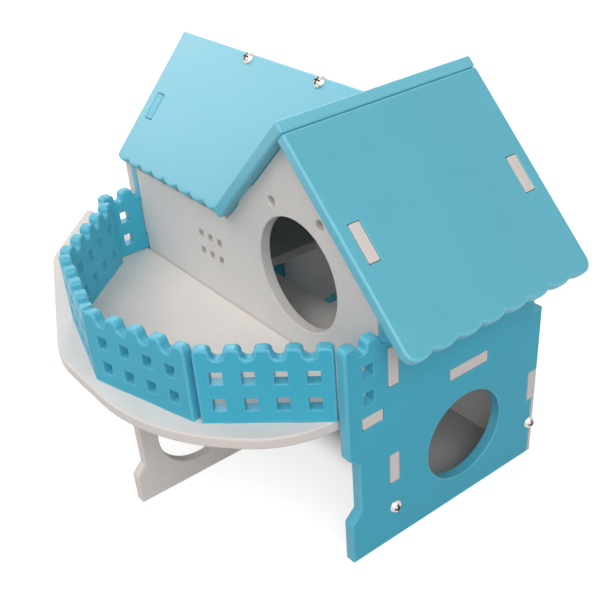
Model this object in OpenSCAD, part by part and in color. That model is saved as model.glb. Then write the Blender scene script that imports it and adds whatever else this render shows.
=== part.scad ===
// Two-storey play house for a small pet, cut from flat board: slotted walls, a deck with a
// fence in front, one roof with its ridge along the house and one gable across it.
// The origin is on the ground, in the middle of the house, at the face of the front wall.
// +X is to the right of a person facing the front wall, +Y runs from the front to the back.

/* [Boards] */
// Thickness of every board
board_t = 5; // [4:0.5:6]
// Clearance round a tab in its slot
slot_gap = 0.25; // [0.1:0.05:0.5]
// Clearance between boards that only lie against each other
seat_gap = 0.15; // [0.1:0.05:0.4]

/* [House] */
// Width over the side walls
house_w = 179; // [170:1:200]
// Depth over the front and back walls
house_d = 84; // [78:1:100]
// Height of the deck and of the inner floor, at their upper face
deck_h = 68.5; // [64:0.5:80]
// Height of the front wall under the long roof
wall_h = 110.5; // [106:0.5:125]
// How far the side walls' cheeks stand in front of the front wall
cheek_d = 20; // [17:0.5:26]
// Height of the cheeks' crest above the deck
cheek_h = 32.5; // [29:0.5:36]

/* [Side walls] */
// Radius of the round hole in a side wall
side_hole_r = 20.5; // [15:0.5:22]
// Height of the round hole's centre
side_hole_z = 32; // [28:0.5:38]
// Height of the toe below the notch in the front edge
toe_h = 19.6; // [10:0.1:24]
// Depth of the notch in the front edge
notch_d = 4.7; // [2:0.1:7]
// Height of the notch's upper end
notch_top = 52.5; // [44:0.5:56]
// Height where the wall's back edge steps forward
back_step_z = 75; // [70:0.5:90]
// How far the foot of the back edge stays inside the back wall's face
heel_in = 2; // [1:0.5:3]
// Length of the tab between a side wall and the long roof, along the slope
verge_tab_l = 12.5; // [8:0.5:16]
// Distance of that tab from the ridge, along the slope
verge_tab_s = 31; // [26:0.5:38]

/* [Front and back walls] */
// Radius of the upper door
door_r = 23.7; // [18:0.1:26]
// Height of the upper door's centre
door_z = 102; // [98:0.5:104]
// Distance of the upper door's centre from the gable's middle line
door_shift = -1.5; // [-4:0.5:4]
// Radius of the two peep holes over the door
peep_r = 2; // [1.5:0.1:3]
// Half the distance between the peep holes
peep_x = 14.4; // [12:0.1:16]
// Height of the peep holes above the door's centre
peep_up = 27; // [26:0.1:29]
// Side of a small square window
pane = 3.4; // [2:0.1:5]
// Distance between small windows along the wall
pane_pitch_x = 7.1; // [6:0.1:9]
// Distance between the two rows of small windows
pane_pitch_z = 8.3; // [6:0.1:10]
// Distance of the middle window column from the left wall's outer face
panes_x = 65.6; // [50:0.1:75]
// Height of the lower window row
panes_z = 87.5; // [80:0.5:95]
// Lower tab of a cross wall, from the ground to its lower end
low_tab_z = 30; // [24:0.5:36]
// Length of the lower tabs
low_tab_l = 14; // [10:0.5:18]
// Upper tab of the front wall, from the deck's upper face to its lower end
top_tab_z = 8.1; // [6:0.1:12]
// Length of the upper tab of the front wall
top_tab_l = 17; // [12:0.5:18]
// Width of a ground-floor doorway
arch_w = 62; // [40:0.5:62]
// Clear board over a ground-floor doorway, below the deck
arch_head = 7.5; // [5:0.5:12]
// Width of the post between the two doorways
post_w = 14; // [11:0.5:20]

/* [Floor and ramp] */
// Length of the floor's tab in a side wall
floor_tab_l = 20.5; // [12:0.5:30]
// Length of the stair hole, along the house
stair_l = 50; // [40:0.5:60]
// Width of the stair hole
stair_w = 32; // [26:0.5:40]
// Distance of the stair hole's right end from the middle of the house
stair_x = 18; // [14:0.5:40]
// Distance of the stair hole from the front wall's face
stair_y = 30.5; // [24:0.5:36]
// Slope of the ramp
ramp_pitch = 47; // [44:1:55]
// How far the ramp's upper end stands above the floor
ramp_rise = 3.5; // [0:0.5:5]
// Clearance on each side of the ramp in the stair hole
ramp_gap = 0.5; // [0.3:0.1:2]
// Distance between the grip grooves of the ramp
groove_pitch = 9; // [7:0.5:14]
// Width of a grip groove
groove_w = 2; // [1:0.1:3]
// Depth of a grip groove
groove_d = 1.2; // [0.5:0.1:2]

/* [Deck] */
// Reach of the deck in front of the front wall
deck_d = 77; // [74:0.5:86]
// Reach of the deck past the left wall
wing_l = 60.5; // [40:0.5:70]
// Where the wing's corner lies past the left wall
wing_knee_x = 21.4; // [18:0.1:28]
// Depth of the wing's corner
wing_knee_d = 39.8; // [36:0.1:44]
// Width of the straight front of the deck
nose_w = 68; // [60:0.5:74]
// Distance of the straight front's middle from the house's middle
nose_x = 6; // [2:0.5:8]
// How far inside the right wall the right corner lies
knee_in = 4.9; // [3:0.1:8]
// Depth of the right corner
knee_d = 41.9; // [39:0.1:45]
// Depth at which the deck's edge meets the right wall
heel_d = 14.6; // [14.5:0.1:18]
// Corner radius at the wing's tip
tip_r = 2; // [0.5:0.5:6]
// Corner radius at the wing
wing_r = 26; // [8:0.5:30]
// Corner radius at the left end of the straight front
nose_left_r = 52; // [20:1:60]
// Corner radius at the right end of the straight front
nose_right_r = 82; // [40:1:86]
// Corner radius at the right corner
knee_r = 47; // [20:0.5:50]
// Front end of the deck's tab in the right wall
deck_tab_d = 13; // [10:0.5:14]
// Length of the deck's tab in the right wall
deck_tab_l = 10; // [6:0.5:10]

/* [Fence] */
// Height of the fence above the deck
fence_h = 32; // [27:0.5:36]
// Distance from the fence's middle to the corner between two fence boards
fence_knee_x = 51; // [44:0.1:54]
// How far that corner stays behind the deck's straight front
fence_knee_in = 18.5; // [17:0.5:24]
// How far the corner in the middle stays behind it
fence_nose_in = 4.2; // [4:0.1:8]
// Rounded merlons on a fence board
merlons = 5; // [4:1:6]
// Width of a merlon
merlon_w = 6.5; // [5:0.1:7]
// Height of a merlon
merlon_h = 4.4; // [3:0.1:5]
// Corner radius of a merlon's top
merlon_r = 2.2; // [1:0.1:2.4]
// Flat left at the bottom of a valley between two merlons
valley_land = 0.1; // [0.1:0.1:1]
// Length of a fence window
light_w = 4.9; // [4:0.1:7]
// Height of a fence window
light_h = 5.4; // [3:0.1:6]
// Distance between fence windows, along and up the board
light_pitch = 11.6; // [10:0.1:12]
// Height of the lower row's centre above the deck
light_z = 8.3; // [6:0.1:10]
// Fence windows in a row
light_cols = 4; // [3:1:4]
// How far the cheeks' windows stand behind the middle of the cheek
light_shift = 0.4; // [0:0.1:1]
// Length of a fence board's tab in the deck
fence_tab_l = 8; // [5:0.5:12]
// Thickness of that tab, which stands in the middle of the board's thickness
fence_tab_t = 4; // [3:0.1:4.4]
// Distance of a tab's middle from a fence board's end, as a share of the board's length
fence_tab_place = 0.25; // [0.2:0.01:0.3]

/* [Support wall] */
// How far the support wall's foot stays behind the deck's straight front
support_in = 11; // [9:0.5:17]
// Distance of the middle of the support wall and of the fence from the house's middle
support_x = -1; // [-1.5:0.5:1]
// Height of its toe
support_toe_h = 14; // [8:0.5:18]
// Radius of its round hole
support_hole_r = 20; // [14:0.5:21]
// Depth of the hole's centre
support_hole_d = 33; // [28:0.5:36]
// Height of the hole's centre
support_hole_z = 28; // [26:0.5:34]
// Height of its tab in the front wall's post
support_tab_h = 26; // [16:0.5:34]

/* [Roofs] */
// Slope of the long roof
long_pitch = 46.5; // [45:0.5:50]
// How far the long roof reaches over the front and back walls
long_eave = 3.6; // [3:0.1:6]
// How far the long roof reaches past the left wall
long_verge = 6; // [5.5:0.5:10]
// Slope of the gable
gable_pitch = 45; // [43:0.5:47]
// How far the gable's middle line stays inside the right wall's outer face
gable_in = 50; // [48:0.5:53]
// Half the width of the gable's opening at the front wall's top
gable_half_w = 48; // [46:0.5:50]
// How far the gable reaches over the front and back walls
gable_eave = 5.5; // [4:0.5:9]
// Length of the right gable board, from the ridge to its scalloped edge
gable_len = 96; // [92:0.5:106]
// Length of the left gable board, from the ridge to its plain edge
gable_left_len = 69.3; // [66:0.1:69.5]
// Distance between the notches of the gable board's scalloped edge
gable_scallop = 12; // [9:0.5:15]
// Notches between the gable board's lower corners
gable_notch_n = 7; // [3:2:7]
// Distance between the notches of the long roof's scalloped edge
long_scallop = 10.6; // [10:0.1:14]
// Distance of the first of those notches from the roof's left edge
long_notch_in = 9.8; // [6:0.1:10]
// Depth of the notches
scallop_d = 1.7; // [1:0.1:2.5]
// Corner radius of the gable board's lower corners
eave_r = 5; // [2:0.5:6]
// Length of the tab between a cross wall and a gable board, along the slope
gable_tab_l = 15.4; // [10:0.5:18]
// Distance of that tab from the ridge, along the slope
gable_tab_s = 43.3; // [36:0.1:47]

/* [Batten] */
// Width of the batten behind the wing
batten_w = 12; // [8:0.5:16]
// How far the batten reaches below the deck
batten_drop = 12; // [8:0.5:20]

/* [Screws] */
// Radius of a screw head
head_r = 3; // [2.5:0.1:3.2]
// Height of a screw head
head_h = 2; // [1.6:0.1:2.4]
// Radius of a screw shank
shank_r = 1.4; // [1:0.1:1.6]
// Length of the screws in the walls and the ridge
screw_l = 14; // [10:0.5:18]
// Length of the screws in the batten
short_screw_l = 8.5; // [8:0.1:9]
// Width of the cross slot
cross_w = 0.9; // [0.6:0.1:1.2]
// Length of the cross slot
cross_l = 3.6; // [2.6:0.1:4.4]
// Depth of the cross slot
cross_d = 1; // [0.6:0.1:1.2]
// Height of the wall screws above the ground
wall_screw_z = 16.6; // [12:0.1:20]
// Distance of the left ridge screw from the house's middle
ridge_screw_left = 41.3; // [30:0.1:60]
// Distance of the right ridge screw from the house's middle
ridge_screw_right = 6.9; // [0:0.1:20]

/* [Hidden] */

half_w = house_w / 2;
inner_w = half_w - board_t;
gable_x = half_w - gable_in;
deck_under = deck_h - board_t;
back_face = house_d - board_t;
mid_y = house_d / 2;
far = 400;
over = 1;
arc_step = 15;
fine_arc_step = 4;
fine_arc_r = 12;
scallop_steps = 6;
bore_gap = 0.05;
paint_blue = "#4ba0be";
paint_pale = "#8fd0de";
paint_white = "#d7d2d0";
paint_steel = "#c9ccd0";

// Ridge heights: the boards' undersides meet the front wall's top.
long_thick = board_t / cos(long_pitch);
long_ridge_z = wall_h + mid_y * tan(long_pitch) + long_thick;
long_len = (mid_y + long_eave) / cos(long_pitch);
gable_thick = board_t / cos(gable_pitch);
gable_ridge_z = wall_h + gable_half_w * tan(gable_pitch) + gable_thick;
gable_peak = gable_ridge_z - gable_thick;
support_d = deck_d - support_in;
gable_ends = [-gable_eave, house_d + gable_eave];
right_top_z = gable_peak - (half_w - gable_x) * tan(gable_pitch) - seat_gap;

// ---- Outlines ----

function last(p) = len(p) - 1;
function unit(v) = v / norm(v);
function wrap(a) = a > 180 ? a - 360 : a < -180 ? a + 360 : a;

// The points of one corner b of an outline, rounded with radius r.
function corner(a, b, c, r) =
    r <= 0 ? [b] :
    let (
        to_a = unit(a - b),
        to_c = unit(c - b),
        half = acos(to_a * to_c) / 2,
        m = b + unit(to_a + to_c) * r / sin(half),
        from = b + to_a * r / tan(half) - m,
        to = b + to_c * r / tan(half) - m,
        start = atan2(from[1], from[0]),
        sweep = wrap(atan2(to[1], to[0]) - start),
        steps = max(1, ceil(abs(sweep) / (r < fine_arc_r ? arc_step : fine_arc_step)))
    )
    [for (i = [0:steps]) m + r * [cos(start + sweep * i / steps), sin(start + sweep * i / steps)]];

// An outline through points [x, y, r], each corner rounded with its r.
function outline(p) = [
    for (i = [0:last(p)])
    let (
        a = p[(i + last(p)) % len(p)],
        b = p[i],
        c = p[(i + 1) % len(p)]
    )
    each corner([a[0], a[1]], [b[0], b[1]], [c[0], c[1]], b[2])
];

// The same points in the opposite order.
function turned(p) = [for (i = [last(p):-1:0]) p[i]];

// One merlon from x to the right, on a crest of height top, beside valleys of a given width.
function merlon(x, top, valley) =
    let (foot_r = min(merlon_h - merlon_r, (valley - valley_land) / 2))
    [
        [x, top - merlon_h, foot_r],
        [x, top, merlon_r],
        [x + merlon_w, top, merlon_r],
        [x + merlon_w, top - merlon_h, foot_r],
    ];

// Points along a scalloped edge at distance s, from a to b, with a notch at each place.
function scallops(places, s) = [
    for (i = [1:last(places)])
    let (
        span = places[i] - places[i - 1],
        r = span * span / (8 * scallop_d) + scallop_d / 2,
        half = asin(span / (2 * r)),
        mid = (places[i] + places[i - 1]) / 2
    )
    for (k = [0:scallop_steps])
    let (a = half * (2 * k / scallop_steps - 1))
    [s - r + r * cos(a), mid + r * sin(a)]
];

// ---- Placing boards ----

// An outline in (y, z), as a board from x to x + board_t.
module along_x(x, t = board_t)
    translate([x, 0, 0]) rotate([90, 0, 90]) linear_extrude(t) children();

// An outline in (x, z), as a board from y to y + board_t.
module along_y(y, t = board_t)
    translate([0, y + t, 0]) rotate([90, 0, 0]) linear_extrude(t) children();

// An outline in (x, y), as a board whose upper face is at z.
module flat_at(z, t = board_t)
    translate([0, 0, z - t]) linear_extrude(t) children();

// A frame on a gable slope: x runs down the slope, y along the ridge, z out of the roof.
module on_gable(right)
    translate([gable_x, 0, gable_ridge_z])
    mirror([right ? 0 : 1, 0, 0])
    rotate([0, gable_pitch, 0])
    children();

// A frame on a slope of the long roof: y runs down the slope, z out of the roof.
module on_long(front)
    translate([0, mid_y, long_ridge_z])
    mirror([0, front ? 1 : 0, 0])
    rotate([-long_pitch, 0, 0])
    children();

// ---- Screws ----

// A pan-head screw whose head stands on z = 0 and whose shank points down.
module screw(l) {
    dome = (head_r * head_r + head_h * head_h) / (2 * head_h);
    difference() {
        union() {
            intersection() {
                translate([0, 0, head_h - dome]) sphere(r = dome, $fn = 96);
                cylinder(r = head_r, h = head_h, $fn = 64);
            }
            translate([0, 0, -l]) cylinder(r = shank_r, h = l + cross_d / 4, $fn = 48);
        }
        for (turn = [0, 90])
            rotate([0, 0, turn])
            translate([-cross_l / 2, -cross_w / 2, head_h - cross_d])
            cube([cross_l, cross_w, head_h]);
    }
}

module bore(l)
    translate([0, 0, -l - over]) cylinder(r = shank_r + bore_gap, h = l + 2 * over, $fn = 48);

// Places of the two screws of a side wall; side is 1 on the right and -1 on the left.
module at_wall_screws(side)
    for (y = [board_t / 2, house_d - board_t / 2])
        translate([side * half_w, y, wall_screw_z]) rotate([0, side * 90, 0]) children();

module at_ridge_screws()
    for (x = [-ridge_screw_left, ridge_screw_right])
        on_long(true) translate([x, board_t / 2, 0]) children();

module at_batten_screws()
    for (z = [deck_under - batten_drop / 2, wall_h - batten_w])
        translate([-half_w - board_t, batten_w / 2, z]) rotate([0, -90, 0]) children();

// ---- Side walls ----

deck_slot = [deck_under - slot_gap, deck_h + slot_gap];
crest_z = deck_h + cheek_h;
cheek_valley = cheek_d / 2 - merlon_w;

// The lower part of a side wall in (y, z), up to the cheek's crest and the back step, and its top.
function wall_base(top) = concat(
    [
        [-cheek_d, 0, 0],
        [-cheek_d, toe_h, 0],
        [-cheek_d + notch_d, toe_h + notch_d, 0],
        [-cheek_d + notch_d, notch_top - notch_d, 0],
        [-cheek_d, notch_top, 0],
    ],
    [for (p = merlon(-cheek_d, crest_z, cheek_valley)) if (p[0] > -cheek_d || p[1] == crest_z) p],
    merlon(-cheek_d / 2, crest_z, cheek_valley),
    [[0, crest_z - merlon_h, 0]],
    top,
    [
        [back_face - slot_gap, back_step_z, 0],
        [house_d, back_step_z, 0],
        [house_d, low_tab_z + low_tab_l + slot_gap, 0],
        [back_face - slot_gap, low_tab_z + low_tab_l + slot_gap, 0],
        [back_face - slot_gap, low_tab_z - slot_gap, 0],
        [house_d - heel_in, low_tab_z - slot_gap, 0],
        [house_d - heel_in, 0, 0],
    ]
);

// A rectangle from a to b, widened by the slot clearance.
module slot2d(a, b)
    translate([a[0] - slot_gap, a[1] - slot_gap])
    square([b[0] - a[0] + 2 * slot_gap, b[1] - a[1] + 2 * slot_gap]);

// Two tabs of length l that reach through the boards on both slopes under a ridge at 0.
module slope_tabs2d(pitch, s, l) {
    depth = board_t + 2 * over;
    rotate(-pitch) translate([s, -depth]) square([l, depth]);
    rotate(180 + pitch) translate([s, 0]) square([l, depth]);
}

module side_cuts2d() {
    translate([mid_y - over, side_hole_z]) circle(r = side_hole_r, $fn = 128);
    for (row = [0, 1])
        translate([
            light_shift - cheek_d / 2 - light_w / 2,
            deck_h + light_z + row * light_pitch - light_h / 2,
        ])
        square([light_w, light_h]);
    slot2d([0, low_tab_z], [board_t, low_tab_z + low_tab_l]);
    slot2d([0, deck_h + top_tab_z], [board_t, deck_h + top_tab_z + top_tab_l]);
    slot2d([mid_y - floor_tab_l / 2, deck_under], [mid_y + floor_tab_l / 2, deck_h]);
}

module side_wall_right()
    color(paint_blue)
    difference() {
        along_x(inner_w) difference() {
            polygon(turned(outline(wall_base([
                [0, right_top_z, 0],
                [back_face - slot_gap, right_top_z, 0],
            ]))));
            side_cuts2d();
            slot2d([-deck_tab_d, deck_under], [-deck_tab_d + deck_tab_l, deck_h]);
        }
        at_wall_screws(1) bore(screw_l);
    }

long_peak = long_ridge_z - long_thick;
back_top_y = back_face - slot_gap;

module side_wall_left()
    color(paint_blue)
    difference() {
        along_x(-half_w) {
            difference() {
                polygon(turned(outline(wall_base([
                    [0, wall_h - seat_gap, 0],
                    [mid_y, long_peak - seat_gap, 0],
                    [back_top_y, long_peak - seat_gap - (back_top_y - mid_y) * tan(long_pitch), 0],
                ]))));
                side_cuts2d();
                translate([-cheek_d - over, deck_slot[0]])
                    square([cheek_d + over + seat_gap, deck_slot[1] - deck_slot[0]]);
            }
            translate([mid_y, long_ridge_z]) slope_tabs2d(long_pitch, verge_tab_s, verge_tab_l);
        }
        at_wall_screws(-1) bore(screw_l);
        at_batten_screws() bore(short_screw_l);
    }

// ---- Front and back walls ----

// The outline of a cross wall in (x, z), between the side walls.
module cross_wall2d() {
    valley_x = gable_x - gable_half_w;
    polygon([
        [-inner_w + seat_gap, 0],
        [inner_w - seat_gap, 0],
        [inner_w - seat_gap, gable_peak - seat_gap - (inner_w - seat_gap - gable_x) * tan(gable_pitch)],
        [gable_x, gable_peak - seat_gap],
        [valley_x, wall_h - seat_gap],
        [-inner_w + seat_gap, wall_h - seat_gap],
    ]);
    for (side = [-1, 1])
        translate([side < 0 ? -half_w : 0, low_tab_z]) square([half_w, low_tab_l]);
    translate([gable_x, gable_ridge_z]) slope_tabs2d(gable_pitch, gable_tab_s, gable_tab_l);
}

module arch2d(x) {
    top = deck_under - arch_head;
    translate([x, -over]) square([arch_w, top - arch_w / 2 + over]);
    translate([x + arch_w / 2, top - arch_w / 2]) circle(r = arch_w / 2, $fn = 128);
}

module front_wall()
    color(paint_white)
    difference() {
        along_y(0) difference() {
            union() {
                cross_wall2d();
                translate([-half_w, deck_h + top_tab_z]) square([house_w, top_tab_l]);
            }
            translate([gable_x + door_shift, door_z]) circle(r = door_r, $fn = 160);
            for (side = [-1, 1])
                translate([gable_x + side * peep_x, door_z + peep_up]) circle(r = peep_r, $fn = 48);
            for (col = [-1:1], row = [0, 1])
                translate([
                    -half_w + panes_x + col * pane_pitch_x - pane / 2,
                    panes_z + row * pane_pitch_z - pane / 2,
                ])
                square(pane);
            arch2d(support_x + post_w / 2);
            arch2d(support_x - post_w / 2 - arch_w);
            translate([support_x - board_t / 2 - slot_gap, -over])
                square([board_t + 2 * slot_gap, support_tab_h + slot_gap + over]);
        }
        for (side = [-1, 1]) at_wall_screws(side) bore(screw_l);
    }

// The back wall's foot is rebated round the side walls' lower ends.
module back_wall()
    color(paint_white)
    difference() {
        union() {
            along_y(back_face) cross_wall2d();
            along_y(house_d - heel_in + slot_gap, heel_in - slot_gap)
                translate([-half_w, 0]) square([house_w, low_tab_z + over]);
        }
        for (side = [-1, 1]) at_wall_screws(side) bore(screw_l);
    }

// ---- Inner floor and ramp ----

module floor_plate()
    color(paint_white)
    flat_at(deck_h) difference() {
        union() {
            translate([-inner_w + seat_gap, board_t + seat_gap])
                square([2 * (inner_w - seat_gap), back_face - board_t - 2 * seat_gap]);
            translate([-half_w, mid_y - floor_tab_l / 2]) square([house_w, floor_tab_l]);
        }
        translate([stair_x - stair_l, stair_y]) square([stair_l, stair_w]);
    }

module climbing_ramp() {
    top_x = stair_x - seat_gap;
    top_z = deck_h + ramp_rise;
    run = top_z / tan(ramp_pitch);
    slope_l = top_z / sin(ramp_pitch);
    color(paint_blue)
    difference() {
        along_y(stair_y + ramp_gap, stair_w - 2 * ramp_gap)
            polygon([
                [top_x, top_z],
                [top_x - run, 0],
                [top_x - run + board_t / sin(ramp_pitch), 0],
                [top_x, top_z - board_t / cos(ramp_pitch)],
            ]);
        for (s = [groove_pitch:groove_pitch:slope_l - groove_pitch])
            translate([top_x, stair_y, top_z]) rotate([0, 90 - ramp_pitch, 0])
            translate([-groove_d, -over, -s - groove_w / 2])
            cube([2 * groove_d, stair_w + 2 * over, groove_w]);
    }
}

// ---- Deck and fence ----

wing_tip = -half_w - wing_l;
deck_points = [
    [inner_w - seat_gap, -seat_gap, 0],
    [wing_tip, -seat_gap, tip_r],
    [-half_w - wing_knee_x, -wing_knee_d, wing_r],
    [nose_x - nose_w / 2, -deck_d, nose_left_r],
    [nose_x + nose_w / 2, -deck_d, nose_right_r],
    [inner_w - knee_in, -knee_d, knee_r],
    [inner_w - seat_gap, -heel_d, 0],
];

// Corners of the fence's outer faces from the fence's middle, on its right half and its mirrored left half.
fence_at = [for (side = [1, -1]) [
    [inner_w - seat_gap - side * support_x, -cheek_d],
    [fence_knee_x, fence_knee_in - deck_d],
    [0, fence_nose_in - deck_d],
]];

function heading(half, i) =
    let (d = fence_at[half][i + 1] - fence_at[half][i])
    atan2(d[1], d[0]);
function fence_back(half) = board_t * tan(abs(heading(half, 1) - heading(half, 0)) / 2) + seat_gap;
function fence_l(half, i) =
    norm(fence_at[half][i + 1] - fence_at[half][i]) - fence_back(half) - i * seat_gap;

// The frame of fence board i of a half: x runs along its outer face, y into the deck.
module on_fence(half, i)
    translate([support_x, 0, 0])
    mirror([half, 0, 0])
    translate([fence_at[half][i][0], fence_at[half][i][1], deck_h])
    rotate([0, 0, heading(half, i)])
    translate([i * fence_back(half), 0, 0])
    mirror([0, 1, 0])
    children();

module fence_tabs2d(l, gap = 0)
    for (place = [fence_tab_place, 1 - fence_tab_place])
        translate([l * place - fence_tab_l / 2 - gap, (board_t - fence_tab_t) / 2 - gap])
        square([fence_tab_l + 2 * gap, fence_tab_t + 2 * gap]);

module fence_board(half, i) {
    l = fence_l(half, i);
    pitch = (l - merlon_w) / (merlons - 1);
    crest = [for (k = [merlons - 1:-1:0]) each turned(merlon(k * pitch, fence_h, pitch - merlon_w))];
    low = light_z - light_h / 2;
    first = (l - (light_cols - 1) * light_pitch - light_w) / 2;
    color(paint_blue)
    difference() {
        on_fence(half, i) {
            translate([0, board_t, 0]) rotate([90, 0, 0]) linear_extrude(board_t) difference() {
                polygon(outline(concat(
                    [[0, 0, 0], [l, 0, 0]],
                    [for (k = [1:last(crest) - 1]) crest[k]]
                )));
                for (col = [0:light_cols - 1], row = [0, 1])
                    translate([first + col * light_pitch, low + row * light_pitch])
                    square([light_w, light_h]);
            }
            translate([0, 0, -board_t]) linear_extrude(board_t + over / 2) fence_tabs2d(l);
        }
        if (i == 1)
            translate([support_x + (half == 0 ? seat_gap / 2 - far : -seat_gap / 2), -far, -far])
            cube([far, 2 * far, 2 * far]);
    }
}

module fence_right() fence_board(0, 0);
module fence_front_right() fence_board(0, 1);
module fence_front_left() fence_board(1, 1);
module fence_left() fence_board(1, 0);

module deck_plate()
    color(paint_white)
    difference() {
        union() {
            flat_at(deck_h) polygon(outline(deck_points));
            flat_at(deck_h) translate([inner_w - over, -deck_tab_d]) square([board_t + over, deck_tab_l]);
        }
        for (half = [0, 1], i = [0, 1])
            on_fence(half, i)
            translate([0, 0, -board_t - over]) linear_extrude(board_t + 2 * over)
            fence_tabs2d(fence_l(half, i), slot_gap);
    }

// ---- Support wall under the deck ----

module support_wall()
    color(paint_white)
    along_x(support_x - board_t / 2) difference() {
        polygon([
            [-support_d, 0],
            [board_t, 0],
            [board_t, support_tab_h],
            [-seat_gap, support_tab_h],
            [-seat_gap, deck_under - seat_gap],
            [-support_d + notch_d, deck_under - seat_gap],
            [-support_d + notch_d, support_toe_h + notch_d],
            [-support_d, support_toe_h],
        ]);
        translate([-support_hole_d, support_hole_z]) circle(r = support_hole_r, $fn = 128);
    }

// ---- Roofs ----

// Everything under the left gable board's upper face, where the long roof ends.
module gable_space()
    on_gable(false) translate([-far, -far, -2 * far + seat_gap]) cube([2 * far, 2 * far, 2 * far]);

module verge_slot(s0)
    translate([-half_w - slot_gap, s0 - slot_gap, -board_t - over])
    cube([board_t + 2 * slot_gap, verge_tab_l + 2 * slot_gap, board_t + 2 * over]);

long_left = -half_w - long_verge;
long_right = gable_x + over;
long_notches = concat(
    [long_left],
    [for (x = [long_left + long_notch_in:long_scallop:long_right - long_scallop]) x],
    [long_right]
);

// One board of the long roof, from distance s0 below the ridge to its scalloped edge.
module long_board(front, s0)
    color(paint_pale)
    difference() {
        on_long(front) difference() {
            translate([0, 0, -board_t]) linear_extrude(board_t)
                polygon(concat(
                    [[long_right, s0], [long_left, s0]],
                    [for (p = scallops(long_notches, long_len)) [p[1], p[0]]]
                ));
            verge_slot(verge_tab_s);
        }
        gable_space();
        at_ridge_screws() bore(screw_l);
    }

// The rear board butts under the front one, clear of its lower face.
rear_start = max(board_t * tan(long_pitch), board_t / sin(2 * long_pitch)) + seat_gap;

module long_roof_front() long_board(true, 0);
module long_roof_rear() long_board(false, rear_start);

module gable_slots()
    for (y = [0, back_face])
        translate([gable_tab_s - slot_gap, y - slot_gap, -board_t - over])
        cube([gable_tab_l + 2 * slot_gap, board_t + 2 * slot_gap, board_t + 2 * over]);

module gable_board_left()
    color(paint_pale)
    on_gable(false) difference() {
        translate([0, gable_ends[0], -board_t])
            cube([gable_left_len, gable_ends[1] - gable_ends[0], board_t]);
        gable_slots();
    }

gable_notches = concat(
    [gable_ends[0]],
    [for (k = [0:gable_notch_n - 1]) mid_y + (k - (gable_notch_n - 1) / 2) * gable_scallop],
    [gable_ends[1]]
);

// The right board butts under the left one and lifts off its four tabs, out of the slope.
module gable_board_right() {
    edge = scallops(gable_notches, gable_len);
    start = max(board_t * tan(gable_pitch), board_t / sin(2 * gable_pitch)) + seat_gap;
    color(paint_pale)
    on_gable(true) difference() {
        translate([0, 0, -board_t]) linear_extrude(board_t) intersection() {
            polygon(concat([[start, gable_ends[1]], [start, gable_ends[0]]], edge));
            polygon(outline([
                [0, gable_ends[0], 0],
                [gable_len, gable_ends[0], eave_r],
                [gable_len, gable_ends[1], eave_r],
                [0, gable_ends[1], 0],
            ]));
        }
        gable_slots();
    }
}

// ---- Batten behind the wing ----

module wing_batten()
    color(paint_white)
    difference() {
        along_x(-half_w - board_t)
            translate([0, deck_under - batten_drop])
            square([batten_w, wall_h - seat_gap - deck_under + batten_drop]);
        at_batten_screws() bore(short_screw_l);
    }

module screws_right_wall() color(paint_steel) at_wall_screws(1) screw(screw_l);
module screws_left_wall() color(paint_steel) at_wall_screws(-1) screw(screw_l);
module screws_ridge() color(paint_steel) at_ridge_screws() screw(screw_l);
module screws_batten() color(paint_steel) at_batten_screws() screw(short_screw_l);

side_wall_right();
side_wall_left();
front_wall();
back_wall();
floor_plate();
deck_plate();
support_wall();
climbing_ramp();
fence_right();
fence_front_right();
fence_front_left();
fence_left();
long_roof_front();
long_roof_rear();
gable_board_left();
gable_board_right();
wing_batten();
screws_right_wall();
screws_left_wall();
screws_ridge();
screws_batten();
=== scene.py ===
"""Looks of a two-storey play house for a small pet, cut from flat foamed board and slotted together.

Units are metres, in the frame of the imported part: the front wall's face is y = 0, the ground z = 0
and the middle of the house x = 0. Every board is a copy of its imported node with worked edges.
"""

import math

import bpy
import numpy as np
from mathutils import Matrix, Vector


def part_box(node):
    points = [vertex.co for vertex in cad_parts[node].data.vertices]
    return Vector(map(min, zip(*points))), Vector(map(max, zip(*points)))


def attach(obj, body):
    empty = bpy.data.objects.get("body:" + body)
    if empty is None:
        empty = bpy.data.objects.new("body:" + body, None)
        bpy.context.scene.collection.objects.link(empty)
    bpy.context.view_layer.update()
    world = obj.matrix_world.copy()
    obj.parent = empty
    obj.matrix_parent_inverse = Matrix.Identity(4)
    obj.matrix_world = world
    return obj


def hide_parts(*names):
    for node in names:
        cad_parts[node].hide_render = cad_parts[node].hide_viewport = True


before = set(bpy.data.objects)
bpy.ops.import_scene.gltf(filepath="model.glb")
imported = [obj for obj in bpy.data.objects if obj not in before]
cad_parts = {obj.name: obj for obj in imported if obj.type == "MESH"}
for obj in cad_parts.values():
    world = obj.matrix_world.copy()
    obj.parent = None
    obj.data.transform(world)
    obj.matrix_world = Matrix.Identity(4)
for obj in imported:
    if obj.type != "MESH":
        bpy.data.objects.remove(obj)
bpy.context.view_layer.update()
bpy.ops.object.select_all(action="DESELECT")

MM = 0.001

# ---- Camera, from the photograph's perspective ----
CAMERA_AT = Vector((292.55, -182.0, 278.36)) * MM
CAMERA_AZIMUTH = 55.09
CAMERA_ELEVATION = 34.30
CAMERA_ROLL = -4.91
SENSOR = 36.0
FOCAL_PX = 933.5
IMAGE_PX = 600
CENTRE_PX = (294.5, 356.5)

# ---- Board ----
# The rounding of a board's outline, and each kind of edge's share of it.
EDGE_ROUND = 1.0 * MM
EDGE_SEGMENTS = 4
OUTLINE, DOORWAY, WINDOW, SLOT, SEAT, BORE = 1.0, 0.6, 0.6, 0.3, 0.1, 0.0
DOORWAY_SPAN = 25 * MM
SLOT_SPAN = 7.5 * MM
BORE_SPAN = 3.5 * MM
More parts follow.
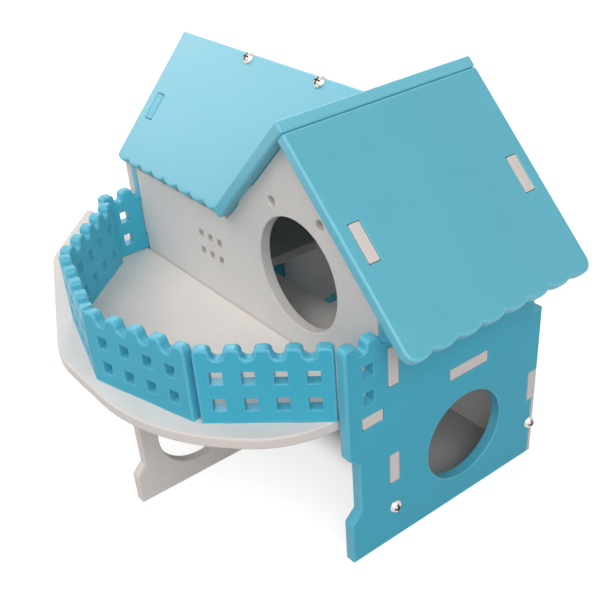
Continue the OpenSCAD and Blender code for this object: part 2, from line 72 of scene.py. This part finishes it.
# Skin that stays between a rounding and a bore
BORE_WALL = 0.15 * MM
TAB_LENGTH = 21 * MM
SHARP_TURN = math.radians(35)
SQUARE_TURN = math.radians(80)
SMOOTH_ANGLE = math.radians(40)
# Faces that meet at less than this are one flat face.
FLAT_TURN = math.radians(1)
# A face belongs to a skin from this cosine to the board's thickness on.
SKIN_COSINE = 0.999
SKIN_LIP = 0.02 * MM
# A loop at least this share of the widest loop's size is the board's outline.
OUTLINE_SHARE = 0.8
# Points closer than this are one point, on the boards and on the screws.
SAME_POINT = 0.01 * MM
SCREW_SAME_POINT = 0.005 * MM
# The easing of the screws' edges that turn by more than an angle
SCREW_EASE = 0.12 * MM
SCREW_TURN = math.radians(45)
# A head's faces are level with it above the first cosine and square to it below the second.
LEVEL_COSINE, SQUARE_COSINE = 0.99, 0.1
# The recess starts more than this above the head's underside.
RECESS_LIFT = 0.1 * MM

# The deck's upper face, on which the fence stands.
DECK_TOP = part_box("deck_plate")[1][2]

# The board nodes: their body, and the slot for their finish.
BLUE, ROOF, WHITE = "blue_board", "roof_board", "white_board"
BOARDS = {
    "side_wall_right": ("house", BLUE),
    "side_wall_left": ("house", BLUE),
    "front_wall": ("house", WHITE),
    "back_wall": ("house", WHITE),
    "floor_plate": ("house", WHITE),
    "deck_plate": ("house", WHITE),
    "support_wall": ("house", WHITE),
    "climbing_ramp": ("house", BLUE),
    "fence_right": ("house", BLUE),
    "fence_front_right": ("house", BLUE),
    "fence_front_left": ("house", BLUE),
    "fence_left": ("house", BLUE),
    "long_roof_front": ("house", ROOF),
    "long_roof_rear": ("house", ROOF),
    "gable_board_left": ("house", ROOF),
    "gable_board_right": ("roof_lid", ROOF),
    "wing_batten": ("house", WHITE),
}


# ---- Materials ----

def srgb(code):
    """A hex colour as linear red, green, blue and an alpha of 1."""
    parts = [int(code[i:i + 2], 16) / 255 for i in (1, 3, 5)]
    return [p / 12.92 if p <= 0.04045 else ((p + 0.055) / 1.055) ** 2.4 for p in parts] + [1.0]


def add(tree, kind, settings=None, links=None):
    """A node with its own settings and input values, and links from other nodes' outputs."""
    node = tree.nodes.new(kind)
    for name, value in (settings or {}).items():
        if hasattr(node, name):
            setattr(node, name, value)
        else:
            node.inputs[name].default_value = value
    for name, source in (links or {}).items():
        tree.links.new(source, node.inputs[name])
    return node


def reckon(tree, operation, *values):
    """The result of a Math node on other nodes' outputs and plain numbers."""
    node = add(tree, "ShaderNodeMath", {"operation": operation})
    for socket, value in zip(node.inputs, values):
        if isinstance(value, (int, float)):
            socket.default_value = value
        else:
            tree.links.new(value, socket)
    return node.outputs[0]


def new_material(name):
    made = bpy.data.materials.new(name)
    made.use_nodes = True
    made.node_tree.nodes.clear()
    return made, made.node_tree


def finish_material(tree, shader):
    out = add(tree, "ShaderNodeOutputMaterial")
    tree.links.new(shader.outputs[0], out.inputs["Surface"])


def per_mm(size):
    """Noise scale whose features are about size millimetres."""
    return 1 / (size * MM)


PVC_IOR = 1.52


def two_tones(tree, noise, low, high, half):
    """A colour that goes from low to high over the middle of a noise's range, half wide to each side."""
    ramp = add(tree, "ShaderNodeValToRGB", links={"Fac": noise})
    for element, place, code in zip(ramp.color_ramp.elements, (0.5 - half, 0.5 + half), (low, high)):
        element.position = place
        element.color = srgb(code)
    return ramp.outputs["Color"]


def board_face(name, low, high, roughness, sheen):
    """Calendered skin of foamed PVC sheet: satin, near even, with a faint cloudiness and orange peel."""
    made, tree = new_material(name)
    place = add(tree, "ShaderNodeAttribute", {"attribute_name": "board_place"}).outputs["Vector"]
    cloud = add(tree, "ShaderNodeTexNoise", {"Scale": per_mm(26), "Detail": 3.0}, {"Vector": place})
    fleck = add(tree, "ShaderNodeTexNoise", {"Scale": per_mm(1.3), "Detail": 2.0}, {"Vector": place})
    blend = add(tree, "ShaderNodeMix", {"data_type": "FLOAT", "Factor": 0.35},
                {"A": cloud.outputs["Fac"], "B": fleck.outputs["Fac"]})
    colour = two_tones(tree, blend.outputs[0], low, high, 0.12)
    gloss = add(tree, "ShaderNodeMapRange", {"To Min": roughness - 0.06, "To Max": roughness + 0.06},
                {"Value": cloud.outputs["Fac"]})
    peel = add(tree, "ShaderNodeTexNoise", {"Scale": per_mm(0.9), "Detail": 1.0}, {"Vector": place})
    bump = add(tree, "ShaderNodeBump", {"Strength": 0.12, "Distance": 0.05 * MM},
               {"Height": peel.outputs["Fac"]})
    shader = add(tree, "ShaderNodeBsdfPrincipled", {"IOR": PVC_IOR, "Specular IOR Level": sheen},
                 {"Base Color": colour, "Roughness": gloss.outputs[0],
                  "Normal": bump.outputs[0]})
    finish_material(tree, shader)
    return made


def board_edge(name, low, high, roughness):
    """Milled and eased edge of foamed PVC sheet: dense core with faint cutter lines; on the blue boards it
    is painted lighter than the skin, a painted highlight.
    """
    made, tree = new_material(name)
    place = add(tree, "ShaderNodeAttribute", {"attribute_name": "board_place"}).outputs["Vector"]
    stretch = add(tree, "ShaderNodeMapping", {"Scale": (1.0, 1.0, 0.06)}, {"Vector": place})
    lines = add(tree, "ShaderNodeTexNoise", {"Scale": per_mm(0.7), "Detail": 2.0},
                {"Vector": stretch.outputs[0]})
    cell = add(tree, "ShaderNodeTexNoise", {"Scale": per_mm(0.6), "Detail": 1.0}, {"Vector": place})
    blend = add(tree, "ShaderNodeMix", {"data_type": "FLOAT", "Factor": 0.5},
                {"A": lines.outputs["Fac"], "B": cell.outputs["Fac"]})
    colour = two_tones(tree, blend.outputs[0], low, high, 0.14)
    bump = add(tree, "ShaderNodeBump", {"Strength": 0.02, "Distance": 0.03 * MM},
               {"Height": blend.outputs[0]})
    shader = add(tree, "ShaderNodeBsdfPrincipled", {"IOR": PVC_IOR, "Roughness": roughness},
                 {"Base Color": colour, "Normal": bump.outputs[0]})
    finish_material(tree, shader)
    return made


def nickel_plate(name, low, high, roughness):
    """Nickel plate on a steel screw: bright and slightly warm on the head; in its recess dull and brown,
    darkened as painted shade.
    """
    made, tree = new_material(name)
    place = add(tree, "ShaderNodeTexCoord").outputs["Object"]
    marks = add(tree, "ShaderNodeTexNoise", {"Scale": per_mm(0.8), "Detail": 2.0}, {"Vector": place})
    gloss = add(tree, "ShaderNodeMapRange", {"To Min": roughness - 0.05, "To Max": roughness + 0.05},
                {"Value": marks.outputs["Fac"]})
    tone = add(tree, "ShaderNodeMix", {"data_type": "RGBA", "A": srgb(low), "B": srgb(high)},
               {"Factor": marks.outputs["Fac"]})
    shader = add(tree, "ShaderNodeBsdfPrincipled", {"Metallic": 1.0},
                 {"Base Color": tone.outputs["Result"], "Roughness": gloss.outputs[0]})
    finish_material(tree, shader)
    return made


# Each board's skin and cut edge: darkest and lightest colour, roughness and, on a skin, its sheen.
# At a roughness of 0.30 the denoised roof shows faint spots; at 0.34 it shows none.
FINISHES = {
    BLUE: (board_face("blue_pvc_sheet_skin", "#42afca", "#46b3ce", 0.40, 0.20),
           # The blue and the roof cut edges are painted lighter than their skins: a painted highlight for
           # the light on their rounded edges.
           board_edge("blue_cut_edge_painted_highlight", "#50b3cc", "#58b9d2", 0.40)),
    # The roof boards are the blue sheet painted paler: a painted sheen for the light on the roof.
    ROOF: (board_face("roof_blue_pvc_skin_painted_paler", "#5eb7cb", "#62bbcf", 0.34, 0.5),
           board_edge("roof_cut_edge_painted_paler_and_highlight", "#6ec2d6", "#76c8dc", 0.40)),
    WHITE: (board_face("white_pvc_sheet_skin", "#e3dbd6", "#e8e0db", 0.60, 0.30),
            board_edge("white_pvc_sheet_cut_edge", "#dbd2cd", "#dfd6d1", 0.5)),
}
# The second finish is the plate darkened to brown in the cross recesses: painted shade.
NICKEL = (nickel_plate("nickel_plated_steel", "#c8c5bf", "#dedcd7", 0.24),
          nickel_plate("nickel_painted_shade_in_recess", "#4a3a2e", "#6b5442", 0.5))


# ---- Modelling helpers ----

def only(piece):
    bpy.ops.object.select_all(action="DESELECT")
    piece.select_set(True)
    bpy.context.view_layer.objects.active = piece


def in_edit(piece, *steps):
    """Runs each step on the whole piece in edit mode."""
    only(piece)
    bpy.ops.object.mode_set(mode="EDIT")
    for step in steps:
        bpy.ops.mesh.select_all(action="SELECT")
        step()
    bpy.ops.object.mode_set(mode="OBJECT")


def modify(piece, kind, **settings):
    """Adds a modifier and applies it."""
    only(piece)
    made = piece.modifiers.new(kind.lower(), kind)
    for name, value in settings.items():
        setattr(made, name, value)
    bpy.ops.object.modifier_apply(modifier=made.name)


def copy_of(node, name):
    piece = bpy.data.objects.new(name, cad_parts[node].data.copy())
    bpy.context.scene.collection.objects.link(piece)
    return piece


def board_axes(piece):
    """The board's two long directions and its thickness, from its largest face."""
    thick = max(piece.data.polygons, key=lambda p: p.area).normal.copy()
    guide = Vector((1, 0, 0)) if abs(thick.x) < 0.9 else Vector((0, 1, 0))
    along = (guide - thick * guide.dot(thick)).normalized()
    return along, thick.cross(along), thick


def write_place(piece, axes):
    """Keeps each point's place in the board's own axes, for the patterns of its finish."""
    turned = Matrix(axes)
    values = [x for v in piece.data.vertices for x in turned @ v.co]
    store = piece.data.attributes.new("board_place", "FLOAT_VECTOR", "POINT")
    store.data.foreach_set("vector", np.array(values, np.float32))


def pick_skin(piece, thick, side=None):
    """Selects the faces of the board's two skins, or only of the lower (-1) or the upper one (1)."""
    mesh = piece.data
    heights = [v.co.dot(thick) for v in mesh.vertices]
    low, high = min(heights), max(heights)
    wanted = (low, high) if side is None else (low if side < 0 else high,)
    only(piece)
    bpy.ops.object.mode_set(mode="EDIT")
    bpy.ops.mesh.select_all(action="DESELECT")
    bpy.ops.object.mode_set(mode="OBJECT")
    for face in mesh.polygons:
        face.select = any(all(abs(heights[v] - w) < SAME_POINT for v in face.vertices) for w in wanted)


def lipped_skin(piece, thick):
    """Gives each skin a hair-thin border, so that the rounding runs square to its outline."""
    pick_skin(piece, thick)
    bpy.ops.object.mode_set(mode="EDIT")
    bpy.ops.mesh.inset(thickness=SKIN_LIP, use_boundary=True, use_even_offset=True)
    bpy.ops.object.mode_set(mode="OBJECT")


def fresh_skin(piece, thick):
    """Takes the skins off and fills each anew inside its outline."""
    for side in (-1, 1):
        pick_skin(piece, thick, side)
        bpy.ops.object.mode_set(mode="EDIT")
        bpy.ops.mesh.select_mode(type="FACE")
        bpy.ops.mesh.delete(type="FACE")
        bpy.ops.mesh.select_mode(type="EDGE")
        bpy.ops.mesh.select_non_manifold(extend=False, use_wire=False, use_multi_face=False,
                                         use_non_contiguous=False, use_verts=False)
        bpy.ops.mesh.fill(use_beauty=True)
        bpy.ops.object.mode_set(mode="OBJECT")
    in_edit(piece, lambda: bpy.ops.mesh.normals_make_consistent(inside=False))


def rim_loops(piece, rims):
    """Groups the edges between skin and cut edge into closed loops."""
    loop_of = {}
    for edge in rims:
        joined = [loop_of[v] for v in edge.vertices if v in loop_of]
        whole = joined[0] if joined else []
        whole.append(edge)
        for other in joined[1:]:
            if other is not whole:
                whole.extend(other)
                for v in [v for e in other for v in e.vertices]:
                    loop_of[v] = whole
        for v in edge.vertices:
            loop_of[v] = whole
    return list({id(loop): loop for loop in loop_of.values()}.values())


def span(piece, edges):
    """The largest extent of some edges."""
    points = np.array([piece.data.vertices[v].co for e in edges for v in e.vertices])
    return float((points.max(axis=0) - points.min(axis=0)).max())


def turn(piece, first, second):
    """The angle by which an outline turns from one of its edges to the next."""
    shared = (set(first.vertices) & set(second.vertices)).pop()
    corner = piece.data.vertices[shared].co
    others = [next(v for v in e.vertices if v != shared) for e in (first, second)]
    ways = [piece.data.vertices[v].co - corner for v in others]
    return math.pi - ways[0].angle(ways[1])


def reach(piece, edge, points):
    """The least distance from an edge to some points."""
    start, end = (piece.data.vertices[v].co for v in edge.vertices)
    way = end - start
    shares = [min(max((p - start).dot(way) / way.length_squared, 0), 1) for p in points]
    return min((p - start - way * share).length for p, share in zip(points, shares))


def edge_shares(piece, thick, foot):
    """Each edge's share of the outline's rounding.

    It is full at the outline and less at openings, tabs, slots and a foot. Beside a bore it leaves a wall.
    """
    mesh = piece.data
    beside = {edge.index: [] for edge in mesh.edges}
    for face in mesh.polygons:
        for key in face.loop_indices:
            beside[mesh.loops[key].edge_index].append(face)
    share = [0.0] * len(mesh.edges)
    rims, corners = [], []
    for edge in mesh.edges:
        if len(beside[edge.index]) != 2:
            continue
        a, b = beside[edge.index]
        if a.normal.angle(b.normal) < SHARP_TURN:
            continue
        skins = sum(abs(f.normal.dot(thick)) > SKIN_COSINE for f in (a, b))
        if skins == 1:
            rims.append(edge)
        elif skins == 0 and (b.center - a.center).dot(a.normal) < 0:
            corners.append(edge)
    loops = rim_loops(piece, rims)
    widest = max(span(piece, loop) for loop in loops)
    at_vertex = {}
    bores = []
    for loop in loops:
        size = span(piece, loop)
        kind = OUTLINE if size > OUTLINE_SHARE * widest else DOORWAY if size > DOORWAY_SPAN else SLOT
        if size < SLOT_SPAN:
            kind = BORE if size < BORE_SPAN else WINDOW
            bores += [mesh.vertices[v].co for e in loop for v in e.vertices if kind == BORE]
        for edge in loop:
            share[edge.index] = kind
            for v in edge.vertices:
                at_vertex.setdefault(v, []).append(edge)
    for edge in rims:
        near = [next((e for e in at_vertex[v] if e.index != edge.index), None) for v in edge.vertices]
        short = (mesh.vertices[edge.vertices[0]].co - mesh.vertices[edge.vertices[1]].co).length < TAB_LENGTH
        if short and all(e and turn(piece, edge, e) > SQUARE_TURN for e in near):
            share[edge.index] = min(share[edge.index], SLOT)
        if all(abs(mesh.vertices[v].co.z - foot) < SAME_POINT for v in edge.vertices):
            share[edge.index] = min(share[edge.index], SEAT)
        if bores and share[edge.index] > BORE:
            room = (reach(piece, edge, bores) - BORE_WALL) / EDGE_ROUND
            share[edge.index] = min(share[edge.index], max(room, BORE))
    for edge in corners:
        beside_it = [share[e.index] for v in edge.vertices for e in at_vertex.get(v, [])]
        share[edge.index] = min(beside_it, default=BORE)
    return share


def rounded_board(node):
    """The node's board with its edges rounded over, its skin and its cut edges in their own finishes."""
    body, slot = BOARDS[node]
    piece = copy_of(node, node + "_board")
    in_edit(
        piece,
        lambda: bpy.ops.mesh.customdata_custom_splitnormals_clear(),
        lambda: bpy.ops.mesh.remove_doubles(threshold=SAME_POINT),
        lambda: bpy.ops.mesh.dissolve_limited(angle_limit=FLAT_TURN),
    )
    axes = board_axes(piece)
    fresh_skin(piece, axes[2])
    lipped_skin(piece, axes[2])
    weights = piece.data.attributes.new("bevel_weight_edge", "FLOAT", "EDGE")
    foot = DECK_TOP if node.startswith("fence") else 0.0
    weights.data.foreach_set("value", edge_shares(piece, axes[2], foot))
    modify(piece, "BEVEL", width=EDGE_ROUND, segments=EDGE_SEGMENTS, limit_method="WEIGHT",
           use_clamp_overlap=False)
    fresh_skin(piece, axes[2])
    only(piece)
    bpy.ops.object.shade_smooth_by_angle(angle=SMOOTH_ANGLE)
    modify(piece, "WEIGHTED_NORMAL", keep_sharp=True)
    piece.data.materials.clear()
    for finish in FINISHES[slot]:
        piece.data.materials.append(finish)
    for face in piece.data.polygons:
        face.material_index = 0 if abs(face.normal.dot(axes[2])) > SKIN_COSINE else 1
    write_place(piece, axes)
    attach(piece, body)
    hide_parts(node)


for board in BOARDS:
    rounded_board(board)


def facing(piece):
    """The way the screws' heads face: away from the flat underside that they seat on, their largest flat."""
    total = {}
    for face in piece.data.polygons:
        way = tuple(round(x, 3) for x in face.normal)
        total[way] = total.get(way, 0.0) + face.area
    return -Vector(max(total, key=total.get)).normalized()


def paint_recess_shade(piece, out):
    """Gives the floors and walls of the cross recesses their own finish, the plate darkened to brown as
    painted shade.
    """
    faces = piece.data.polygons
    seat = max(f.center.dot(out) for f in faces if f.normal.dot(out) < -LEVEL_COSINE)
    for face in faces:
        rise = face.normal.dot(out)
        wall = abs(rise) < SQUARE_COSINE and face.center.dot(out) > seat + RECESS_LIFT
        face.material_index = 1 if wall or rise > LEVEL_COSINE else 0


def eased_screws(node):
    """The node's two screws, with the edges of their heads and cross recesses eased."""
    piece = copy_of(node, node + "_pair")
    out = facing(piece)
    in_edit(
        piece,
        lambda: bpy.ops.mesh.customdata_custom_splitnormals_clear(),
        lambda: bpy.ops.mesh.remove_doubles(threshold=SCREW_SAME_POINT),
    )
    modify(piece, "BEVEL", width=SCREW_EASE, segments=2, limit_method="ANGLE",
           angle_limit=SCREW_TURN, use_clamp_overlap=True)
    only(piece)
    bpy.ops.object.shade_smooth_by_angle(angle=SMOOTH_ANGLE)
    modify(piece, "WEIGHTED_NORMAL", keep_sharp=True)
    piece.data.materials.clear()
    for finish in NICKEL:
        piece.data.materials.append(finish)
    paint_recess_shade(piece, out)
    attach(piece, "house")
    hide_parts(node)


for node in ("screws_right_wall", "screws_left_wall", "screws_ridge", "screws_batten"):
    eased_screws(node)


# ---- Floor, light and camera ----

# White that the paper adds to itself, and how much more it adds far from the lamps.
PAPER_GLOW = 0.74
FAR_GLOW = 0.22
LAMPS_END = 0.3
PAPER_WHITE = 2.0
# The paper inside the house: between the middles of the side walls and up to that of the back wall.
# The glow fades over a short way behind the front wall's face.
SIDE_WALL_X = 87 * MM
BACK_WALL_Y = 82 * MM
FADE_FROM, FADE_TO = 10 * MM, 35 * MM
PAPER_SIZE = 14


def floor_material():
    """Matt white paper sweep: adds its own white for the camera, so only the object's shadow shows.

    The paper inside the house gets none, so the lower room stays as dim as it is. Far from the lamps
    it gets more, so it stays white to its edge.
    """
    made, tree = new_material("white_paper_sweep")
    path = add(tree, "ShaderNodeLightPath").outputs
    seen = reckon(tree, "MAXIMUM", path["Is Camera Ray"], path["Is Glossy Ray"])
    seen = reckon(tree, "MAXIMUM", seen, path["Is Transmission Ray"])
    here = add(tree, "ShaderNodeTexCoord").outputs["Object"]
    place = add(tree, "ShaderNodeSeparateXYZ", links={"Vector": here}).outputs
    front = add(tree, "ShaderNodeMapRange",
                {"interpolation_type": "SMOOTHSTEP", "From Min": FADE_FROM, "From Max": FADE_TO,
                 "To Min": PAPER_GLOW, "To Max": 0.0}, {"Value": place["Y"]}).outputs[0]
    beside = reckon(tree, "GREATER_THAN", reckon(tree, "ABSOLUTE", place["X"]), SIDE_WALL_X)
    behind = reckon(tree, "GREATER_THAN", place["Y"], BACK_WALL_Y)
    outside = reckon(tree, "MULTIPLY", reckon(tree, "MAXIMUM", beside, behind), PAPER_GLOW)
    far = add(tree, "ShaderNodeVectorMath", {"operation": "LENGTH"})
    tree.links.new(here, far.inputs[0])
    lift = add(tree, "ShaderNodeMapRange",
               {"interpolation_type": "SMOOTHSTEP", "From Min": LAMPS_END, "From Max": PAPER_WHITE,
                "To Max": FAR_GLOW}, {"Value": far.outputs["Value"]}).outputs[0]
    glow = reckon(tree, "ADD", reckon(tree, "MAXIMUM", outside, front), lift)
    paper = add(tree, "ShaderNodeBsdfDiffuse", {"Color": srgb("#b8b8b8")})
    white = add(tree, "ShaderNodeEmission", links={"Strength": reckon(tree, "MULTIPLY", glow, seen)})
    both = add(tree, "ShaderNodeAddShader")
    tree.links.new(paper.outputs[0], both.inputs[0])
    tree.links.new(white.outputs[0], both.inputs[1])
    finish_material(tree, both)
    return made


bpy.ops.mesh.primitive_plane_add(size=PAPER_SIZE)
floor = bpy.context.object
floor.name = "paper_sweep"
floor.data.materials.append(floor_material())

# Strength of the white world in the diffuse light; the camera and reflections see it as full white.
WORLD_FILL = 0.20


def studio_world():
    """A white room: full white where it is seen or mirrored, a dim even fill elsewhere."""
    world = bpy.data.worlds.new("studio")
    bpy.context.scene.world = world
    world.use_nodes = True
    sky = world.node_tree
    sky.nodes.clear()
    rays = add(sky, "ShaderNodeLightPath").outputs
    seen = reckon(sky, "MAXIMUM", rays["Is Camera Ray"], rays["Is Transmission Ray"])
    seen = reckon(sky, "MAXIMUM", seen, rays["Is Glossy Ray"])
    fill = add(sky, "ShaderNodeBackground", {"Color": srgb("#ffffff"), "Strength": WORLD_FILL})
    clear = add(sky, "ShaderNodeBackground", {"Color": srgb("#ffffff"), "Strength": 1.0})
    either = add(sky, "ShaderNodeMixShader", links={"Fac": seen})
    sky.links.new(fill.outputs[0], either.inputs[1])
    sky.links.new(clear.outputs[0], either.inputs[2])
    out = add(sky, "ShaderNodeOutputWorld")
    sky.links.new(either.outputs[0], out.inputs["Surface"])


studio_world()


# Each softbox's name, direction from the object, distance, side and power.
SOFTBOXES = (
    ("front_top_softbox", (0.0, -0.7, 0.9), 1.4, 0.8, 6.3),
    ("right_top_softbox", (0.75, -0.15, 0.65), 1.4, 0.9, 6.4),
    ("front_right_softbox", (0.66, -0.6, 0.45), 1.5, 0.9, 4.3),
    ("right_low_softbox", (1.0, -0.35, 0.12), 1.5, 0.9, 1.1),
    ("left_softbox", (-0.81, -0.22, 0.56), 1.4, 0.7, 5.2),
    ("back_left_rim_softbox", (-0.67, 0.47, 0.56), 1.4, 0.5, 4.5),
)
# The point that the softboxes look at, about halfway up the house
LOOK_AT = Vector((0, 0, 0.08))


def softbox(name, towards, distance, size, power):
    """A square lamp that looks at the object from the given direction."""
    lamp = bpy.data.lights.new(name, "AREA")
    lamp.shape = "SQUARE"
    lamp.size = size
    lamp.energy = power
    holder = bpy.data.objects.new(name, lamp)
    direction = Vector(towards).normalized()
    holder.location = LOOK_AT + direction * distance
    holder.rotation_euler = direction.to_track_quat("Z", "Y").to_euler()
    bpy.context.scene.collection.objects.link(holder)


for box in SOFTBOXES:
    softbox(*box)


def photo_camera():
    """The photograph's camera: place, direction, roll and the offset of its cropped frame."""
    a, e = math.radians(CAMERA_AZIMUTH), math.radians(CAMERA_ELEVATION)
    back = Vector((math.sin(a) * math.cos(e), -math.cos(a) * math.cos(e), math.sin(e)))
    lens = bpy.data.cameras.new("photo_camera")
    lens.sensor_width = SENSOR
    lens.lens = FOCAL_PX / IMAGE_PX * SENSOR
    lens.shift_x = 0.5 - CENTRE_PX[0] / IMAGE_PX
    lens.shift_y = CENTRE_PX[1] / IMAGE_PX - 0.5
    lens.clip_start = 0.01
    camera = bpy.data.objects.new("photo_camera", lens)
    level = back.to_track_quat("Z", "Y")
    rolled = level.to_matrix() @ Matrix.Rotation(math.radians(CAMERA_ROLL), 3, "Z")
    camera.location = CAMERA_AT
    camera.rotation_mode = "QUATERNION"
    camera.rotation_quaternion = rolled.to_quaternion()
    bpy.context.scene.collection.objects.link(camera)
    bpy.context.scene.camera = camera


photo_camera()
bpy.context.scene.view_settings.view_transform = "Standard"

bpy.ops.object.select_all(action="DESELECT")
bpy.context.view_layer.update()
